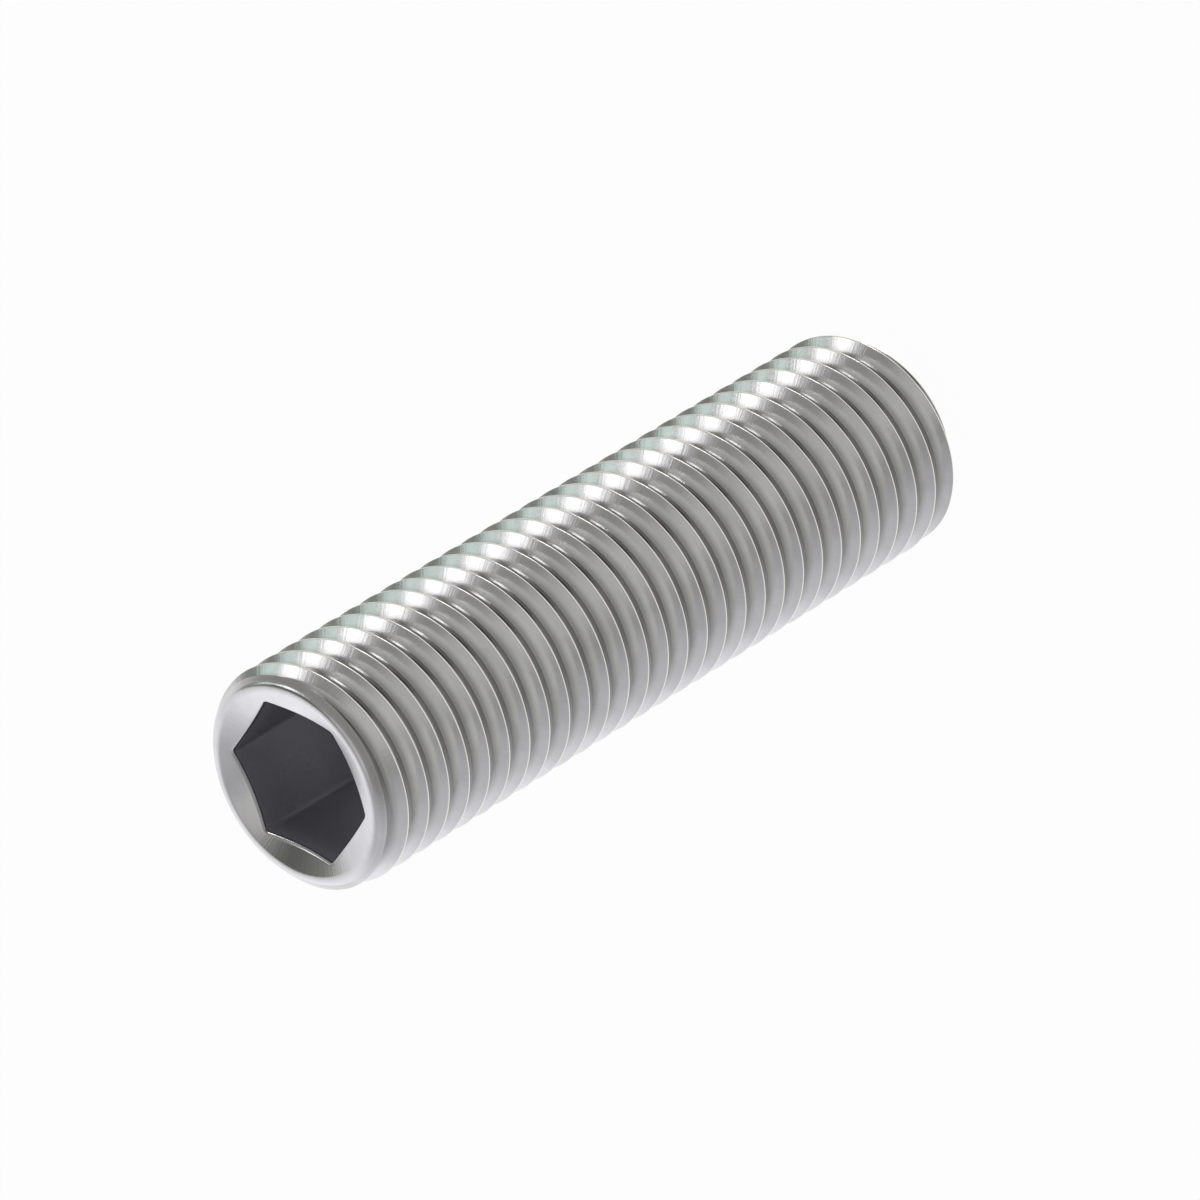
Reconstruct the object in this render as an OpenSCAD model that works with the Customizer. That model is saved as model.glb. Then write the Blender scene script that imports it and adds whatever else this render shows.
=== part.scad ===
// Socket set screw: a headless threaded rod with a hexagon socket in one end
// and a flat point at the other. One solid piece. It stands on its point,
// +Z runs up the screw's axis and the origin is the centre of the point face.

/* [Thread] */
// Major diameter, over the crests
thread_d = 16; // [15.5:0.5:20]
// Distance from one crest to the next
pitch = 2; // [1.5:0.25:2.5]
// Overall length
length = 60; // [30:5:90]
// Width of the flat along each crest
crest_w = 0.18; // [0.1:0.02:0.24]
// Angle round the axis at which a crest would cross the point face, in degrees
thread_turn = 260; // [0:5:355]
// Straight steps in one turn of the thread
steps = 36; // [24:4:48]

/* [Point] */
// Diameter of the flat face that bears on the work
point_d = 12; // [10:0.5:13]

/* [Socket] */
// Hexagon size across its flats
hex_af = 10; // [8:0.5:10]
// Depth of the hexagon below the rim
hex_depth = 10; // [6:1:16]
// How far each hexagon corner is cut back by a small round
corner_cut = 0.07; // [0.04:0.01:0.12]
// Ledge left between the hexagon's flats and the drill point
drill_ledge = 0.3; // [0.1:0.1:0.8]
// Full angle of the drill point
drill_angle = 120; // [110:2:130]

/* [Rim] */
// Radius of the rolled edge around the socket
rim_round = 0.8; // [0.6:0.05:0.85]
// Strip of dish between the hexagon's corners and the rolled edge
dish_strip = 0.18; // [0.1:0.02:0.3]
// Slope of the dish, in degrees
dish_slope = 7.5; // [4:0.5:10]
// How far the rim's back edge, where the thread stops, stands out from the rolled edge
back_step = 0.05; // [0.03:0.01:0.1]

/* [Hidden] */

$fn = 96;

thread_r = thread_d / 2;
// Sixty degree thread. The root lies five eighths of the sharp height below the crests.
flank = 30;
sharp_h = pitch / 2 / tan(flank);
root_r = thread_r - 5 / 8 * sharp_h;
// The ridge runs on to a sharp edge, and the blank's diameter trims it flat
apex_r = thread_r + crest_w / 2 / tan(flank);
root_half = (apex_r - root_r) * tan(flank);

point_chamfer = thread_r - point_d / 2;

hex_r = hex_af / 2 / cos(30);
socket_floor = length - hex_depth;
drill_r = hex_af / 2 - drill_ledge;
drill_h = drill_r / tan(drill_angle / 2);

// The rim sits round the hexagon, and the 45 degree chamfer touches its rolled edge
dish_r = hex_r + dish_strip;
rim_r = dish_r + rim_round;
rim_z = length - rim_round;
touch = rim_round * cos(45);
chamfer_z = rim_z + touch - (thread_r - rim_r - touch);
dish_z = rim_z - dish_r * tan(dish_slope);
// Back edge of the rim, on the chamfer
back_r = rim_r + rim_round + back_step;
back_z = rim_z + rim_r + 2 * touch - back_r;

// Right-hand helix: radius r, height z at the start, n steps along
function helix_point(r, z, n) =
    let (a = thread_turn + 360 * n / steps)
    [r * cos(a), r * sin(a), z + pitch * n / steps];

// The blank before threading: chamfered point, rolled rim and shallow dish
module blank() {
    rotate_extrude() {
        polygon([
            [0, 0],
            [point_d / 2, 0],
            [thread_r, point_chamfer],
            [thread_r, chamfer_z],
            [rim_r + touch, rim_z + touch],
            [rim_r, rim_z],
            [dish_r, rim_z],
            [0, dish_z]
        ]);
        translate([rim_r, rim_z]) circle(r = rim_round);
    }
}

// Threaded rod, longer than the blank at both ends. Each step along the helix
// has a column of three points: the ridge's lower foot, its apex, its upper foot.
// Root strips join each upper foot to the lower foot one turn further on.
module threaded_rod() {
    turns = ceil(length / pitch) + 3;
    last = turns * steps;
    start = -2 * pitch;
    columns = [for (n = [0:last]) each [
        helix_point(root_r, start - root_half, n),
        helix_point(apex_r, start, n),
        helix_point(root_r, start + root_half, n)
    ]];
    foot_hub = len(columns);
    head_hub = foot_hub + 1;
    hubs = [[0, 0, start - pitch], [0, 0, start + pitch * (turns + 1)]];
    flanks = [for (n = [0:last - 1], side = [0, 1])
        let (here = 3 * n + side, next = here + 3)
        each [[here, here + 1, next], [here + 1, next + 1, next]]];
    roots = [for (n = [0:last - steps - 1])
        let (here = 3 * n + 2, above = 3 * (n + steps))
        each [[here, above, here + 3], [above, above + 3, here + 3]]];
    foot_cap = [for (n = [0:steps - 1]) [3 * n, 3 * n + 3, foot_hub]];
    head_cap = [for (n = [last - steps:last - 1]) [3 * n + 5, 3 * n + 2, head_hub]];
    // The step where each cap meets the cut end of the ridge
    foot_step = [foot_hub, 3 * steps, 2, 1, 0];
    head_step = [head_hub, 3 * (last - steps) + 2, 3 * last, 3 * last + 1, 3 * last + 2];
    polyhedron(
        points = concat(columns, hubs),
        faces = concat(flanks, roots, foot_cap, head_cap, [foot_step, head_step])
    );
}

// All that lies beyond the rim's back face, a cone with the flanks' slope,
// so that the groove runs out behind the rim and leaves it whole
module rim_stop() {
    outer_r = thread_d;
    rotate_extrude()
        polygon([
            [0, back_z - back_r * tan(flank)],
            [outer_r, back_z + (outer_r - back_r) * tan(flank)],
            [outer_r, length + thread_d],
            [0, length + thread_d]
        ]);
}

// Hexagon with its corners slightly rounded, open through the rim, drilled below
module socket() {
    reach = hex_depth + rim_round;
    translate([0, 0, socket_floor]) intersection() {
        cylinder(h = reach, r = hex_r, $fn = 6);
        cylinder(h = reach, r = hex_r - corner_cut);
    }
    translate([0, 0, socket_floor - drill_h]) cylinder(h = drill_h, r1 = 0, r2 = drill_r);
}

module set_screw() {
    color("silver")
    difference() {
        intersection() {
            union() {
                threaded_rod();
                rim_stop();
            }
            blank();
        }
        socket();
    }
}

set_screw();
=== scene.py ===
import math

import bmesh
import bpy
from mathutils import Matrix, Vector


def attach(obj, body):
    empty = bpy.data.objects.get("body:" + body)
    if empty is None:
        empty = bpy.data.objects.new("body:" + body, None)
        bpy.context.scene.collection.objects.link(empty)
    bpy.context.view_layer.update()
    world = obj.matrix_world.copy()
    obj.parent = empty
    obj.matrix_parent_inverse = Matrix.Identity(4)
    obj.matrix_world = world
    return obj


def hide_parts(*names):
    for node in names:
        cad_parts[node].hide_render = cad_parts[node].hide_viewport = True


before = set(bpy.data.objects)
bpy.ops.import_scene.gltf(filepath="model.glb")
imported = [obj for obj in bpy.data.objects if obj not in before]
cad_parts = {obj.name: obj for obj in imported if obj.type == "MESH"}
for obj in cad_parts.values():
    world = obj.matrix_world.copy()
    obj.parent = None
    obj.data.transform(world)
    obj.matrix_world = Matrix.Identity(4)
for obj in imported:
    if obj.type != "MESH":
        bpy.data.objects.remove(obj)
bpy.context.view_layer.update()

scene = bpy.context.scene
mm = 0.001


# Camera
# It looks down on the socket end from the front and lies on its side, so that
# the standing screw crosses the picture from lower left to upper right.
look_azimuth = math.radians(13.9)
look_down = math.radians(40.6)
camera_roll = math.radians(121.2)
camera_range = 749.4 * mm
aim = Vector((0, 0, 29.5 * mm))
sensor_width = 36    # this and the focal length in millimetres, as the camera takes them
focal_length = 337.6

forward = Vector((-math.sin(look_azimuth) * math.cos(look_down),
                  math.cos(look_azimuth) * math.cos(look_down),
                  -math.sin(look_down)))
level_right = forward.cross(Vector((0, 0, 1))).normalized()
level_up = level_right.cross(forward)
picture_up = level_up * math.cos(camera_roll) + level_right * math.sin(camera_roll)
picture_right = forward.cross(picture_up)

lens = bpy.data.cameras.new("camera")
lens.sensor_width = sensor_width
lens.lens = focal_length
lens.clip_start = 0.01
lens.clip_end = 20
camera = bpy.data.objects.new("camera", lens)
camera.matrix_world = Matrix.Translation(aim - forward * camera_range) @ Matrix(
    (picture_right, picture_up, -forward)).transposed().to_4x4()
scene.collection.objects.link(camera)
scene.camera = camera


# Set screw
# One piece of steel: a bar with a rolled thread, a chamfered flat point, and at
# the other end a hexagon socket inside a rolled rim. The thread and the turned
# blank are made apart and cut from each other, as the dies and the lathe do.
thread_r = 8 * mm
pitch = 2 * mm
crest_w = 0.08 * mm
screw_length = 60 * mm
thread_turn = math.radians(260)    # where a crest would cross the point face
thread_steps = 96
spare_turns = 3    # beyond the screw's ends
flank_angle = math.radians(30)
flank_tan = math.tan(flank_angle)
root_depth = 0.6134 * pitch    # the standard depth with a round root
shoulder_offset = 0.025 * mm
flank_hold = 0.04 * mm    # from the root's round to the flank's lower point

point_r = 6 * mm
point_round = 0.08 * mm
hex_half = 5 * mm
hex_depth = 10 * mm
corner_cut = 0.07 * mm
rim_round = 0.75 * mm
back_step = 0.05 * mm
chamfer_angle = math.radians(45)
chamfer_sum = 67.085 * mm    # radius plus height, anywhere on the rim's chamfer
dish_angle = math.radians(20)
mouth_round = 0.17 * mm
near_mouth = 1.5 * mouth_round    # from the hexagon to a ring just outside its round
drill_ledge = 0.3 * mm
drill_half_angle = math.radians(60)
tip_share = 0.02    # of the drill's size, for the face that closes its tip
crest_clearance = 0.02 * mm    # the blank is wider by this, and leaves the crests whole
ring_steps = 360
merge_distance = 0.0005 * mm

hex_r = hex_half / math.cos(math.radians(30))
corner_r = hex_r - corner_cut
rim_z = screw_length - rim_round
rim_r = chamfer_sum - rim_z - math.sqrt(2) * rim_round
touch = rim_round * math.cos(chamfer_angle)


def wire(bm, points):
    """A chain of edges through points given as (radius, height)."""
    verts = [bm.verts.new((r, 0, z)) for r, z in points]
    for a, b in zip(verts, verts[1:]):
        bm.edges.new((a, b))
    return verts


def round_corner(bm, vert, offset, segments):
    """Rounds a wire at one of its corners."""
    bmesh.ops.bevel(bm, geom=[vert], affect="VERTICES", offset=offset, offset_type="OFFSET",
                    segments=segments, profile=0.5, material=-1)


def finish_mesh(bm, name):
    """Closes the seams, points the faces outwards and hands back an object."""
    bmesh.ops.remove_doubles(bm, verts=bm.verts, dist=merge_distance)
    bmesh.ops.recalc_face_normals(bm, faces=bm.faces)
    mesh = bpy.data.meshes.new(name)
    bm.to_mesh(mesh)
    bm.free()
    piece = bpy.data.objects.new(name, mesh)
    scene.collection.objects.link(piece)
    return piece


def cut(piece, other, operation):
    """Combines two closed solids into the first and removes the second."""
    modifier = piece.modifiers.new("cut", "BOOLEAN")
    modifier.object = other
    modifier.operation = operation
    modifier.solver = "MANIFOLD"
    depsgraph = bpy.context.evaluated_depsgraph_get()
    result = bpy.data.meshes.new_from_object(piece.evaluated_get(depsgraph))
    piece.modifiers.clear()
    piece.data = result
    bpy.data.objects.remove(other)


# The thread's profile over one pitch, from crest to crest. The two inner points
# of each flank keep its shading flat between the rounds at its ends.
crest_to_tip = (pitch - crest_w) / 2 / flank_tan
root_offset = (crest_to_tip - root_depth) / (2 - math.sqrt(2)) / math.cos(flank_angle)
flank_run = Vector((math.cos(flank_angle), 0, math.sin(flank_angle)))
shoulder = Vector((thread_r, 0, crest_w / 2))
root_tip = Vector((thread_r - crest_to_tip, 0, pitch / 2))
below_shoulder = shoulder + Vector((-flank_run.x, 0, flank_run.z)) * 2 * shoulder_offset
above_root = root_tip + Vector((flank_run.x, 0, -flank_run.z)) * (root_offset + flank_hold)
half = [(thread_r, 0)] + [(v.x, v.z) for v in (shoulder, below_shoulder, above_root, root_tip)]

bm = bmesh.new()
profile = wire(bm, half + [(r, pitch - z) for r, z in reversed(half[:-1])])
lower_shoulder, root_corner, upper_shoulder = profile[1], profile[4], profile[7]
round_corner(bm, root_corner, root_offset, 10)
round_corner(bm, lower_shoulder, shoulder_offset, 2)
round_corner(bm, upper_shoulder, shoulder_offset, 2)

# The profile is swept up one turn of the helix from below the point. Each copy
# then doubles the turns, and both ends are cut level and closed.
start_z = -2 * pitch
rod_foot = -0.6 * pitch
rod_head = screw_length + 0.4 * pitch
bmesh.ops.translate(bm, verts=bm.verts, vec=(0, 0, start_z))
bmesh.ops.rotate(bm, verts=bm.verts, cent=(0, 0, 0), matrix=Matrix.Rotation(thread_turn, 3, "Z"))
bmesh.ops.spin(bm, geom=bm.verts[:] + bm.edges[:], cent=(0, 0, 0), axis=(0, 0, 1),
               dvec=(0, 0, pitch / thread_steps), angle=2 * math.pi, steps=thread_steps,
               use_merge=False)
turns = 1
while turns < screw_length / pitch + spare_turns:
    copied = bmesh.ops.duplicate(bm, geom=bm.verts[:] + bm.edges[:] + bm.faces[:])["geom"]
    bmesh.ops.translate(bm, verts=[v for v in copied if isinstance(v, bmesh.types.BMVert)],
                        vec=(0, 0, pitch * turns))
    turns *= 2
bmesh.ops.remove_doubles(bm, verts=bm.verts, dist=merge_distance)
for height, outward in ((rod_foot, -1), (rod_head, 1)):
    found = bmesh.ops.bisect_plane(
        bm, geom=bm.verts[:] + bm.edges[:] + bm.faces[:], plane_co=(0, 0, height),
        plane_no=(0, 0, outward), clear_outer=True)
    loop = [e for e in found["geom_cut"] if isinstance(e, bmesh.types.BMEdge)]
    bmesh.ops.contextual_create(bm, geom=loop)
rod = finish_mesh(bm, "rod")

# The groove stops at a cone behind the rim
back_r = rim_r + rim_round + back_step
back_z = rim_z + rim_r + 2 * touch - back_r
stop_r = thread_r + pitch / 2
stop_h = stop_r * flank_tan
bm = bmesh.new()
bmesh.ops.create_cone(bm, cap_ends=True, cap_tris=False, segments=ring_steps, radius1=0,
                      radius2=stop_r, depth=stop_h)
bmesh.ops.translate(bm, verts=bm.verts, vec=(0, 0, back_z - back_r * flank_tan + stop_h / 2))
stop = finish_mesh(bm, "stop")
cut(rod, stop, "UNION")


# The turned blank: point, chamfers and rolled rim by one spin, then the socket
# ring by ring, from the dish down the hexagon to the drill point
def hex_radius(angle):
    """The hexagon's radius at an angle, with its corners cut round."""
    turn = angle % math.radians(60) - math.radians(30)
    return min(hex_half / math.cos(turn), corner_r)


def next_ring(bm, ring, place):
    """Extrudes an open ring of edges, and place says each new vertex's radius and height."""
    made = bmesh.ops.extrude_edge_only(bm, edges=ring)["geom"]
    for vert in [v for v in made if isinstance(v, bmesh.types.BMVert)]:
        angle = math.atan2(vert.co.y, vert.co.x)
        radius, height = place(angle)
        vert.co = (radius * math.cos(angle), radius * math.sin(angle), height)
    return [e for e in made if isinstance(e, bmesh.types.BMEdge)]


clear_r = thread_r + crest_clearance
dish_top_r = rim_r - rim_round * math.sin(dish_angle)
dish_top_z = rim_z + rim_round * math.cos(dish_angle)
socket_floor = screw_length - hex_depth
drill_r = hex_half - drill_ledge
drill_z = socket_floor - drill_r / math.tan(drill_half_angle)
tip_z = drill_z + tip_share * (socket_floor - drill_z)


def dish(radius):
    """Height of the conical dish around the hexagon."""
    return dish_top_z - (dish_top_r - radius) * math.tan(dish_angle)


bm = bmesh.new()
outline = wire(bm, [
    (0, 0),
    (point_r, 0),
    (clear_r, clear_r - point_r),
    (clear_r, chamfer_sum - clear_r),
    (rim_r + touch, rim_z + touch)])
point_edge, rim_start = outline[1], outline[-1]
bmesh.ops.spin(bm, geom=[rim_start], cent=(rim_r, 0, rim_z), axis=(0, -1, 0),
               angle=chamfer_angle + dish_angle, steps=24, use_merge=False)
round_corner(bm, point_edge, point_round, 3)
bmesh.ops.spin(bm, geom=bm.verts[:] + bm.edges[:], cent=(0, 0, 0), axis=(0, 0, 1),
               angle=2 * math.pi, steps=ring_steps, use_merge=True)
bmesh.ops.remove_doubles(bm, verts=bm.verts, dist=merge_distance)
ring = [e for e in bm.edges if e.is_boundary]
ring = next_ring(bm, ring, lambda a: (hex_radius(a) + near_mouth, dish(hex_radius(a) + near_mouth)))
mouth = next_ring(bm, ring, lambda a: (hex_radius(a), dish(hex_radius(a))))
ring = next_ring(bm, mouth, lambda a: (hex_radius(a), socket_floor))
ring = next_ring(bm, ring, lambda a: (drill_r, socket_floor))
ring = next_ring(bm, ring, lambda a: (tip_share * drill_r, tip_z))
bmesh.ops.contextual_create(bm, geom=ring)
bmesh.ops.bevel(bm, geom=mouth, affect="EDGES", offset=mouth_round, offset_type="OFFSET",
                segments=5, profile=0.5, material=-1)
screw = finish_mesh(bm, "set_screw_body")
cut(screw, rod, "INTERSECT")
screw.data.shade_smooth()
screw.data.set_sharp_from_angle(angle=math.radians(35))

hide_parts("set_screw")
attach(screw, "root")


class Value:
    """A number that varies over a surface, with arithmetic that adds Math nodes."""

    def __init__(self, tree, socket):
        self.tree = tree
        self.socket = socket

    def math(self, operation, *others):
        return add_node(self.tree, "ShaderNodeMath", {"operation": operation}, {0: self, **dict(
            enumerate(others, 1))})

    def __add__(self, other):
        return self.math("ADD", other)

    def __sub__(self, other):
        return self.math("SUBTRACT", other)

    def __rsub__(self, other):
        return add_node(self.tree, "ShaderNodeMath", {"operation": "SUBTRACT"}, {0: other, 1: self})

    def __mul__(self, other):
        return self.math("MULTIPLY", other)

    def __truediv__(self, other):
        return self.math("DIVIDE", other)

    __radd__ = __add__
    __rmul__ = __mul__

    def between(self, low, high):
        """0 below low, 1 above high, and smooth from one to the other."""
        return add_node(self.tree, "ShaderNodeMapRange", {"interpolation_type": "SMOOTHSTEP"},
                        {"Value": self, "From Min": low, "From Max": high})


def add_node(tree, kind, settings, inputs, output=0):
    """Adds a node, sets it up, feeds its sockets, and returns one of its outputs."""
    node = tree.nodes.new(kind)
    for name, value in settings.items():
        setattr(node, name, value)
    for name, value in inputs.items():
        if isinstance(value, Value):
            tree.links.new(value.socket, node.inputs[name])
        else:
            node.inputs[name].default_value = value
    return Value(tree, node.outputs[output]) if len(node.outputs) else node


def steel_with_painted_light():
    """Bright rolled steel: fine lines drawn across the flanks, and a faint grain, with painted shade
    in the thread's roots and a painted highlight on its crests.
    """
    dull_steel = (0.60, 0.60, 0.595, 1)
    bright_steel = (0.67, 0.67, 0.665, 1)
    # Painted shade for the thread's roots
    root_shade_colour = (0.3, 0.295, 0.285, 1)
    # Painted highlight for the thread's crests
    crest_highlight_colour = (0.9, 0.87, 0.81, 1)
    socket_steel = (0.58, 0.58, 0.61, 1)
    lines_per_radian = 45
    # Where masks begin and end, as radii and heights in millimetres
    wall_radii = (5.68, 5.8)
    wall_heights = (40, 44)
    root_radii = (6.9, 7.6)
    crest_radii = (7.95, 7.98)

    material = bpy.data.materials.new("steel")
    material.use_nodes = True
    tree = material.node_tree
    tree.nodes.clear()
    place = add_node(tree, "ShaderNodeTexCoord", {}, {}, "Object")
    place = add_node(tree, "ShaderNodeVectorMath", {"operation": "SCALE"}, {0: place, "Scale": 1 / mm})
    x, y, z = (add_node(tree, "ShaderNodeSeparateXYZ", {}, {0: place}, axis) for axis in "XYZ")
    radius = (x * x + y * y).math("SQRT")
    across = add_node(tree, "ShaderNodeCombineXYZ", {}, {
        0: x / radius * lines_per_radian, 1: y / radius * lines_per_radian, 2: z * 0.5})
    lines = add_node(tree, "ShaderNodeTexNoise", {}, {
        "Vector": across, "Scale": 1.0, "Detail": 3.0, "Roughness": 0.6})
    grain = add_node(tree, "ShaderNodeTexNoise", {}, {
        "Vector": place, "Scale": 9.0, "Detail": 3.0, "Roughness": 0.7})
    cloud = add_node(tree, "ShaderNodeTexNoise", {}, {
        "Vector": place, "Scale": 0.35, "Detail": 4.0, "Roughness": 0.55})

    # How far a place lies below the dish's cone, and above the point's chamfer
    below_dish = (radius - dish_top_r / mm) * math.tan(dish_angle) + dish_top_z / mm - z
    above_chamfer = z - radius + point_r / mm
    within_walls = (1 - radius.between(*wall_radii)) * z.between(*wall_heights)
    in_socket = within_walls * below_dish.between(0.12, 0.3)
    near_axis = 1 - radius.between(*root_radii)
    # Painted shade: marks the thread's roots, clear of the dish and the point's chamfer
    root_shade_mask = near_axis * below_dish.between(0.4, 0.7) * above_chamfer.between(0.2, 0.5)
    # Painted highlight: marks the thread's crests
    crest_highlight_mask = radius.between(*crest_radii)

    bare = add_node(tree, "ShaderNodeMix", {"data_type": "RGBA"}, {
        "Factor": cloud.between(0.3, 0.7), 6: dull_steel, 7: bright_steel}, 2)
    # Painted shade mixed into the thread's roots
    root_shaded = add_node(tree, "ShaderNodeMix", {"data_type": "RGBA"}, {
        "Factor": root_shade_mask * 0.8, 6: bare, 7: root_shade_colour}, 2)
    # Painted highlight mixed onto the thread's crests
    crest_highlighted = add_node(tree, "ShaderNodeMix", {"data_type": "RGBA"}, {
        "Factor": crest_highlight_mask, 6: root_shaded, 7: crest_highlight_colour}, 2)
    colour = add_node(tree, "ShaderNodeMix", {"data_type": "RGBA"}, {
        "Factor": in_socket, 6: crest_highlighted, 7: socket_steel}, 2)
    roughness = 0.1 + lines * 0.05 + grain * 0.03 + in_socket * 0.3
    relief = lines * 0.5 + grain * 0.25
    normal = add_node(tree, "ShaderNodeBump", {}, {
        "Strength": 0.7, "Distance": 0.02 * mm, "Height": relief})
    steel = add_node(tree, "ShaderNodeBsdfPrincipled", {}, {
        "Base Color": colour, "Metallic": 1.0, "Roughness": roughness, "Normal": normal})
    add_node(tree, "ShaderNodeOutputMaterial", {}, {"Surface": steel})
    return material


screw.data.materials.clear()
screw.data.materials.append(steel_with_painted_light())


# Floor
# A plain white table top, a hair below the point. The camera and the steel see it
# almost plain white, and it keeps a part of the soft shadow that the screw throws.
floor_half = 1.5
floor_drop = 0.02 * mm
glow_share = 0.96
bm = bmesh.new()
bmesh.ops.create_grid(bm, x_segments=1, y_segments=1, size=floor_half)
bmesh.ops.translate(bm, verts=bm.verts, vec=(0, 0, -floor_drop))
floor = finish_mesh(bm, "floor")
white = bpy.data.materials.new("white_floor")
white.use_nodes = True
tree = white.node_tree
tree.nodes.clear()
camera_ray = add_node(tree, "ShaderNodeLightPath", {}, {}, "Is Camera Ray")
glossy_ray = add_node(tree, "ShaderNodeLightPath", {}, {}, "Is Glossy Ray")
through_ray = add_node(tree, "ShaderNodeLightPath", {}, {}, "Is Transmission Ray")
sees_floor = (camera_ray + glossy_ray + through_ray).math("MINIMUM", 1.0) * glow_share
paint = add_node(tree, "ShaderNodeBsdfDiffuse", {}, {"Color": (0.9, 0.9, 0.9, 1)})
glow = add_node(tree, "ShaderNodeEmission", {}, {"Color": (1, 1, 1, 1), "Strength": 1.0})
mixed = add_node(tree, "ShaderNodeMixShader", {}, {0: sees_floor, 1: paint, 2: glow})
add_node(tree, "ShaderNodeOutputMaterial", {}, {"Surface": mixed})
floor.data.materials.append(white)


# Studio light
# Four soft lamps in a pale room. The camera lies on its side, so directions are
# given round the picture's own level instead of the floor's: azimuth from straight
# ahead to the right, and elevation upwards.
picture_tilt = math.radians(35.3)
studio_up = picture_up * math.cos(picture_tilt) - forward * math.sin(picture_tilt)
studio_ahead = forward * math.cos(picture_tilt) + picture_up * math.sin(picture_tilt)


def toward(azimuth, elevation):
    """The unit direction at an azimuth and an elevation in degrees."""
    a, e = math.radians(azimuth), math.radians(elevation)
    level = picture_right * math.sin(a) + studio_ahead * math.cos(a)
    return level * math.cos(e) + studio_up * math.sin(e)


def softbox(name, azimuth, elevation, width, height, radiance, colour, distance=1.5):
    """A rectangular lamp that faces the screw, its size in degrees as the screw sees it."""
    lamp = bpy.data.lights.new(name, "AREA")
    lamp.shape = "RECTANGLE"
    lamp.size = 2 * distance * math.tan(math.radians(width / 2))
    lamp.size_y = 2 * distance * math.tan(math.radians(height / 2))
    lamp.energy = radiance * math.pi * lamp.size * lamp.size_y
    lamp.color = colour
    away = toward(azimuth, elevation)
    side = studio_up.cross(away).normalized()
    box = bpy.data.objects.new(name, lamp)
    box.matrix_world = Matrix.Translation(aim + away * distance) @ Matrix(
        (side, away.cross(side), away)).transposed().to_4x4()
    scene.collection.objects.link(box)


softbox("window", -97, 17, 12, 14, 1.7, (0.99, 0.98, 1.0))
softbox("window_edge", -106.5, 19, 5, 13, 0.4, (0.95, 0.93, 1.0))
softbox("side_strip", -83.4, 7, 10, 12, 0.75, (0.8, 1.0, 0.96))
softbox("top", -56, 68, 16, 16, 5, (1.0, 1.0, 1.0))

world = bpy.data.worlds.new("studio")
scene.world = world
world.use_nodes = True
tree = world.node_tree
tree.nodes.clear()
heading = add_node(tree, "ShaderNodeTexCoord", {}, {}, "Generated")


def facing(direction):
    """How nearly a direction of the surroundings agrees with this one, from -1 to 1."""
    return add_node(tree, "ShaderNodeVectorMath", {"operation": "DOT_PRODUCT"},
                    {0: heading, 1: tuple(direction)}, "Value")


# The room grows paler downwards. The sweep is a wide pale patch low on the left,
# the fill a small one at the left on the camera's side, the flag a dark band under
# the window, and the shade a dark patch high above the camera.
height = facing(studio_up)
below = (0 - height).math("MAXIMUM", 0.0)
sweep = facing(toward(-62, -42)).between(0.5, 0.95)
fill = facing(toward(-139, 5)).between(0.93, 0.985)
band = height.between(-0.24, -0.14) * (1 - height.between(0.08, 0.15))
flag = band * facing(toward(-92, -2)).between(0.84, 0.95)
shade = facing(toward(-178, 70)).between(0.92, 0.985)
tone = (0.35 + below * 0.55 + sweep * 0.48 + fill * 0.28) * (1 - flag * 0.6) * (1 - shade * 0.7)
camera_ray = add_node(tree, "ShaderNodeLightPath", {}, {}, "Is Camera Ray")
tinted = add_node(tree, "ShaderNodeMix", {"data_type": "RGBA"}, {
    "Factor": below.between(0.0, 0.35), 6: (1.0, 0.985, 0.97, 1), 7: (0.955, 0.95, 1.0, 1)}, 2)
surround = add_node(tree, "ShaderNodeMix", {"data_type": "RGBA"}, {
    "Factor": flag, 6: tinted, 7: (0.98, 1.0, 0.92, 1)}, 2)
studio = add_node(tree, "ShaderNodeBackground", {}, {"Color": surround, "Strength": tone})
backdrop = add_node(tree, "ShaderNodeBackground", {}, {"Color": (1, 1, 1, 1), "Strength": 1.0})
mixed = add_node(tree, "ShaderNodeMixShader", {}, {0: camera_ray, 1: studio, 2: backdrop})
add_node(tree, "ShaderNodeOutputWorld", {}, {"Surface": mixed})

scene.view_settings.view_transform = "Standard"
